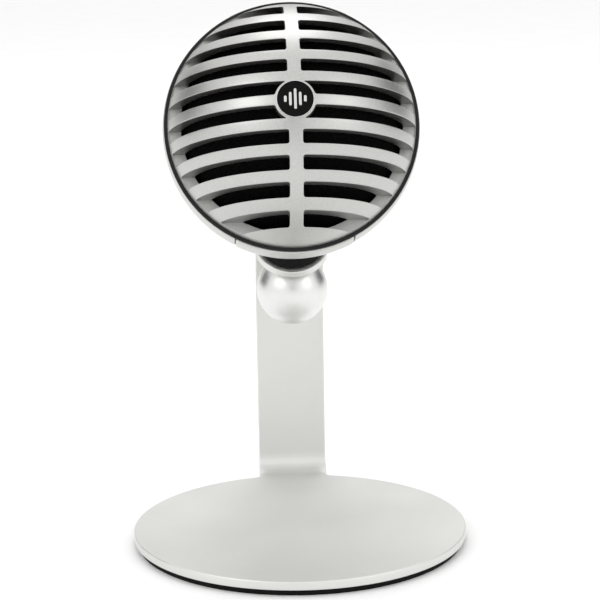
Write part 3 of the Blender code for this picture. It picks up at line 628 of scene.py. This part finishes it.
# ---------------------------------------------------------------- foam behind the slots
def foam():
    outer, inner = 28.6, 26.4
    profile = arc(outer, 180, 96, 72) + arc(inner, 97, 180, 30)
    made = turned(profile, 150, "Y")
    for vert in made.verts:
        if vert.co.length > 27.5:
            ripple = noise.noise(vert.co * 0.9) * 0.10 + noise.noise(vert.co * 2.3) * 0.08
            vert.co *= 1 + ripple / 30.0
    return made


foam_piece = finish("foam_lining", foam(), HEAD_M, M["foam"], "head", ["foam_windscreen"], weighted=False)

# ---------------------------------------------------------------- seal, rear shell and strap
seal = rounded([(29.6, -4.78), (SEAL_R, -4.78), (SEAL_R, -3.95), (29.6, -3.95)], [0.1, 0.28, 0.28, 0.1], 6)
finish("seal", turned(seal, 256, "Y"), HEAD_M, M["seal"], "head", ["seal_ring"], sharp=50)

FRONT, SHELL_IN, STRAP_SEAT, GROOVE = -3.9, 32.0, 33.1, 15.8
start_out = math.degrees(math.acos(FRONT / SHELL_R))
start_in = math.degrees(math.acos(FRONT / SHELL_IN))
end_out, end_in = math.degrees(math.asin(13.65 / SHELL_R)), math.degrees(math.asin(13.6 / SHELL_IN))
lip = math.sqrt(SHELL_R**2 - FRONT**2)
shell = [(lip - 0.3, FRONT), (lip - 0.08, FRONT + 0.06)] + arc(SHELL_R, start_out - 0.5, end_out, 84) + arc(SHELL_IN, end_in, start_in, 48)
shell = turned(shell, 224, "Y")
for cut in (GROOVE, GROOVE - 0.06):
    for side in (-1, 1):
        bmesh.ops.bisect_plane(shell, geom=shell.verts[:] + shell.edges[:] + shell.faces[:], dist=1e-5, plane_co=(cut * side, 0, 0), plane_no=(1, 0, 0))
for vert in shell.verts:
    far = vert.co.length
    if abs(vert.co.x) < GROOVE - 0.03 and far > STRAP_SEAT:
        vert.co *= STRAP_SEAT / far
finish("back_shell", shell, HEAD_M, M["paint_back"], "head", ["rear_shell"], sharp=40)

MOUNT_TURN = math.radians(90 - PITCH) - LINE_ANGLE
# Angle, from the head's back towards its underside, of the line that the stud comes in along.
mount = Matrix.Rotation(math.radians(PITCH), 4, "X") @ Vector((0, math.sin(LINE_ANGLE), -math.cos(LINE_ANGLE)))
MOUNT_TURN = math.atan2(mount.z, mount.y)


def strap():
    """The raised band, drawn flat as (across, along the meridian) and wrapped on the round of the head."""
    half, reach = 15.5, STRAP_R * math.radians(96.0)
    outline = rounded([(-half, -reach), (half, -reach), (half, reach), (-half, reach)], [0.5, 0.5, 0.5, 0.5], 5)
    long = []
    for a, b in zip(outline, outline[1:] + outline[:1]):
        gap = (Vector(b) - Vector(a)).length
        for k in range(max(1, round(gap / 1.5))):
            long.append(tuple(Vector(a).lerp(Vector(b), k / max(1, round(gap / 1.5)))))
    panel = [(STRAP_R * 1.0 * x / 1.0, y) for x, y in arc(1.0, 0, 357, 119)]
    panel = []
    for x, z in arc(13.6, 0, 357, 119):
        y = math.sqrt(STRAP_R**2 - x * x - z * z)
        panel.append((x, STRAP_R * math.atan2(z, y)))
    stud = [(x, z + STRAP_R * MOUNT_TURN) for x, z in arc(3.7, 0, 350, 35)]
    thick = 0.7
    made = plate(long, [panel, stud], thick, 0.30, 0.05, 4, cuts_x=spread(-15, 15, 1.25), cuts_y=spread(-57, 57, 1.25))
    for vert in made.verts:
        x, along, depth = vert.co
        radius = STRAP_R - depth
        x = x * radius / STRAP_R if abs(x) < half else x
        x = max(-half, min(half, x))
        ring = math.sqrt(radius**2 - x * x)
        limit = math.pi / 2 - math.asin((FRONT + 0.02) / ring)
        turn = along / STRAP_R
        turn = max(-limit, min(limit, turn * limit / math.radians(96.0)))
        vert.co = Vector((x, ring * math.cos(turn), ring * math.sin(turn)))
    return made


finish("back_strap", strap(), HEAD_M, M["paint_back"], "head", ["rear_strap"])

# ---------------------------------------------------------------- back panel and controls
BUTTON, WHEEL, JACK, USB, LAMP = (-5.6, 3.6), (5.6, 3.6), (-5.4, -5.0), (4.9, -5.6), (0.0, 9.6)


def ring_of(radius, centre, count=48):
    return [(x + centre[0], z + centre[1]) for x, z in arc(radius, 0, 360 - 360 / count, count - 1)]


def stadium(half_width, half_height, centre, count=12):
    run = half_width - half_height
    loop = arc(half_height, 0, 180, count, (run, 0.0)) + arc(half_height, 180, 360, count, (-run, 0.0))
    return [(x + centre[0], z + centre[1]) for x, z in loop]


def upright_plate(back, made):
    """Stands a plate up: its show face at `back`, looking towards +Y."""
    for vert in made.verts:
        x, z, depth = vert.co
        vert.co = Vector((x, back - depth, z))
    return made


panel = plate(ring_of(13.2, (0, 0), 160), [ring_of(3.2, BUTTON), ring_of(1.8, WHEEL, 32), ring_of(3.4, JACK), ring_of(1.1, LAMP, 24), stadium(4.6, 1.8, USB)], 1.8, 0.25, 0.1, 4)
finish("control_panel", upright_plate(31.4, panel), HEAD_M, M["panel"], "head", ["rear_panel"])
for name, loop_out, loop_in, spot in (("button_ring", 3.75, 3.35, BUTTON), ("wheel_ring", 5.05, 4.75, WHEEL)):
    ring = rounded([(loop_in, 31.39), (loop_out, 31.39), (loop_out, 31.52), (loop_in, 31.52)], [0, 0.05, 0.05, 0], 3)
    finish(name, turned(ring, 72, "Y", at=spot), HEAD_M, M["nickel"], "head", (), sharp=50)

button = [(0, 32.06), (0.9, 32.07), (1.6, 32.12), (2.1, 32.19), (2.45, 32.2), (2.72, 32.14), (2.87, 31.98), (2.9, 31.75), (2.9, 29.4), (3.6, 29.4), (3.6, 29.0), (1.4, 29.0), (1.4, 28.6), (0, 28.6)]
finish("mute_key", turned(button, 96, "Y", at=BUTTON), HEAD_M, M["button"], "mute_button", ["mute_button"], sharp=50)


def knob():
    ridges = 30
    loop = []
    for k in range(ridges * 8):
        phase = (k / 8) % 1.0
        r = 4.2 - 0.26 * smoothstep(abs(phase - 0.5), 0.28, 0.5)
        turn = 2 * math.pi * k / (ridges * 8)
        loop.append((r * math.cos(turn), r * math.sin(turn)))
    return upright_plate(34.0, plate(loop, [], 2.3, 0.3, 0.1, 4))


wheel = knob()
for vert in wheel.verts:
    vert.co += Vector((WHEEL[0], 0, WHEEL[1]))
made = finish("volume_knob", wheel, HEAD_M, M["wheel"], "volume_wheel", ["volume_wheel"])
pointer = plate(stadium(1.25, 0.2, (0, 0), 8), [], 0.1, 0.04, 0.0, 2)
for vert in pointer.verts:
    x, z, depth = vert.co
    vert.co = Vector((z + WHEEL[0], 34.05 - depth, x + 2.2 + WHEEL[1]))
finish("volume_pointer", pointer, HEAD_M, M["mark"], "volume_wheel", (), sharp=50)
finish("volume_shaft", turned(rounded([(0, 26.2), (1.4, 26.2), (1.4, 31.8), (0, 31.8)], [0, 0.2, 0.0, 0], 2), 40, "Y", at=WHEEL), HEAD_M, M["nickel"], "volume_wheel", (), sharp=50)

jack = rounded([(0, 24.3), (3.1, 24.3), (3.1, 31.6), (1.8, 31.6), (1.8, 25.5), (0, 25.5)], [0, 0.1, 0.2, 0.2, 0, 0], 4)
finish("jack_body", turned(jack, 96, "Y", at=JACK), HEAD_M, M["jack"], "head", ["headphone_jack"], sharp=50)
collar = rounded([(1.88, 31.45), (2.55, 31.45), (2.55, 31.68), (1.88, 31.68)], [0, 0.08, 0.08, 0], 3)
finish("jack_collar", turned(collar, 72, "Y", at=JACK), HEAD_M, M["nickel"], "head", (), sharp=50)


def usb():
    made = upright_plate(31.38, plate(stadium(4.4, 1.6, USB), [stadium(4.12, 1.32, USB)], 6.0, 0.12, 0.05, 3))
    return made


finish("usb_shell", usb(), HEAD_M, M["nickel"], "head", ["usb_socket"], sharp=50)
tongue = upright_plate(30.4, plate(rounded([(USB[0] - 3.3, USB[1] - 0.35), (USB[0] + 3.3, USB[1] - 0.35), (USB[0] + 3.3, USB[1] + 0.35), (USB[0] - 3.3, USB[1] + 0.35)], 0.1, 3), [], 5.6, 0.1, 0.0, 3))
finish("usb_tongue", tongue, HEAD_M, M["jack"], "head", (), sharp=50)
floor_plate = upright_plate(25.6, plate(stadium(4.1, 1.3, USB), [], 0.8, 0.0, 0.0, 1))
finish("usb_floor", floor_plate, HEAD_M, M["jack"], "head", (), sharp=50, weighted=False)
for k in range(8):
    x = USB[0] - 2.45 + 0.7 * k
    pin = plate([(x - 0.16, -0.0), (x + 0.16, -0.0), (x + 0.16, 3.6), (x - 0.16, 3.6)], [], 0.05, 0.0, 0.0, 1)
    for vert in pin.verts:
        px, run, depth = vert.co
        vert.co = Vector((px, 26.4 + run, USB[1] + 0.40 - depth))
    finish(f"usb_contact_{k + 1}", pin, HEAD_M, M["gold"], "head", (), sharp=30, weighted=False)
lamp = rounded([(0, 24.3), (0.9, 24.3), (0.9, 31.45), (0.55, 31.6), (0, 31.62)], [0, 0.1, 0.15, 0.1, 0], 4)
finish("lamp_lens", turned(lamp, 40, "Y", at=LAMP), HEAD_M, M["lamp"], "head", ["status_lamp"], sharp=60)

# ---------------------------------------------------------------- pieces that keep their CAD shape
KEPT = {
    "mount_insert": "brass", "chassis": "chassis", "capsule": "nickel", "capsule_cup": "cup", "capsule_lead": "lead",
    "main_board": "board", "mute_switch": "chassis", "volume_pot": "nickel",
}
for k in (1, 2, 3):
    KEPT[f"chassis_screw_{k}"] = "zinc"
    KEPT[f"board_screw_{k}"] = "zinc"
for node, key in KEPT.items():
    mesh = NODES[node].data
    mesh.materials.clear()
    mesh.materials.append(M[key])
    mesh.polygons.foreach_set("material_index", [0] * len(mesh.polygons))

# ---------------------------------------------------------------- floor, surroundings and light
def stage_mesh(name, verts, faces, material):
    mesh = bpy.data.meshes.new(name)
    mesh.from_pydata(verts, [], faces)
    mesh.materials.append(material)
    made = bpy.data.objects.new(name, mesh)
    bpy.context.scene.collection.objects.link(made)
    return made


paper = Nodes("studio_paper", Metallic=0.0, Specular_IOR_Level=0.15)
paper.colour(paper.noise(40.0, 2.0), (0.93, 0.93, 0.93), (0.945, 0.945, 0.945))
paper.rough(paper.noise(90.0, 2.0), 0.75, 0.85)
stage_mesh("floor", [(-3, -3, 0), (3, -3, 0), (3, 3, 0), (-3, 3, 0)], [(0, 1, 2, 3)], paper.material)

flag = Nodes("dark_flag", Metallic=0.0, Roughness=1.0, Specular_IOR_Level=0.0)
flag.colour(flag.noise(5.0, 2.0), (0.012, 0.012, 0.012), (0.02, 0.02, 0.02))


def card(name, centre, look, width, height, material):
    """An upright card that faces `look`, seen only in reflections."""
    facing = (Vector(look) - Vector(centre)).normalized()
    across = Vector((0, 0, 1)).cross(facing).normalized()
    up = facing.cross(across)
    corners = [Vector(centre) + across * sx * width / 2 + up * sz * height / 2 for sx, sz in ((-1, -1), (1, -1), (1, 1), (-1, 1))]
    made = stage_mesh(name, [tuple(c) for c in corners], [(0, 1, 2, 3)], material)
    made.visible_camera = False
    made.visible_shadow = False
    made.visible_diffuse = False
    return made


card("flag_left", (-0.95, 0.50, 0.36), (0, 0.02, 0.08), 0.78, 0.56, flag.material)
card("flag_right", (0.95, 0.50, 0.36), (0, 0.02, 0.08), 0.78, 0.56, flag.material)
card("flag_camera", (0.0, -1.2, 0.42), (0, 0.02, 0.08), 0.30, 0.30, flag.material)
grey = Nodes("grey_card", Metallic=0.0, Roughness=1.0, Specular_IOR_Level=0.0)
grey.colour(grey.noise(5.0, 2.0), (0.55, 0.55, 0.55), (0.60, 0.60, 0.60))
card("card_back", (0.0, 1.6, 0.50), (0, 0.0, 0.05), 2.2, 0.7, grey.material)

world = bpy.data.worlds.new("studio")
bpy.context.scene.world = world
world.use_nodes = True
background = world.node_tree.nodes["Background"]
background.inputs["Color"].default_value = (1.0, 1.0, 1.0, 1)
background.inputs["Strength"].default_value = 1.0


def softbox(name, place, look, size, power, size_y=None):
    light = bpy.data.lights.new(name, "AREA")
    light.shape = "RECTANGLE"
    light.size, light.size_y = size, size_y or size
    light.energy = power
    made = bpy.data.objects.new(name, light)
    bpy.context.scene.collection.objects.link(made)
    made.location = place
    made.rotation_euler = (Vector(look) - Vector(place)).to_track_quat("-Z", "Y").to_euler()
    return made


softbox("top_box", (0.0, 0.45, 1.0), (0, 0, 0.05), 0.6, 2.1)
softbox("left_box", (-0.8, -0.75, 0.75), (0, 0, 0.09), 0.6, 2.0)
softbox("right_box", (0.85, -0.7, 0.6), (0, 0, 0.09), 0.6, 1.1)

# ---------------------------------------------------------------- camera
AZ, EL, AWAY, FOCAL, CX, CY, ROLL = -2.19, 18.78, 0.600, 2217.0, 296.15, 524.75, -0.99
a, e = math.radians(AZ), math.radians(EL)
towards = Vector((math.sin(a) * math.cos(e), -math.cos(a) * math.cos(e), math.sin(e)))
position = towards * AWAY + Vector((0, 0, 0.0039))
right = (-towards).cross(Vector((0, 0, 1))).normalized()
up = right.cross(-towards)
aim = (-towards + right * ((300 - CX) / FOCAL) - up * ((300 - CY) / FOCAL)).normalized()
right = aim.cross(up).normalized()
up = right.cross(aim)
r = math.radians(ROLL)
right, up = right * math.cos(r) + up * math.sin(r), up * math.cos(r) - right * math.sin(r)
lens = bpy.data.cameras.new("camera")
lens.sensor_width = 36.0
lens.lens = 36.0 * FOCAL / 600.0
lens.clip_start = 0.01
camera = bpy.data.objects.new("camera", lens)
bpy.context.scene.collection.objects.link(camera)
camera.matrix_world = Matrix(((right.x, up.x, -aim.x, position.x), (right.y, up.y, -aim.y, position.y), (right.z, up.z, -aim.z, position.z), (0, 0, 0, 1)))
bpy.context.scene.camera = camera
bpy.context.scene.view_settings.view_transform = "Standard"
bpy.context.scene.view_settings.look = "None"
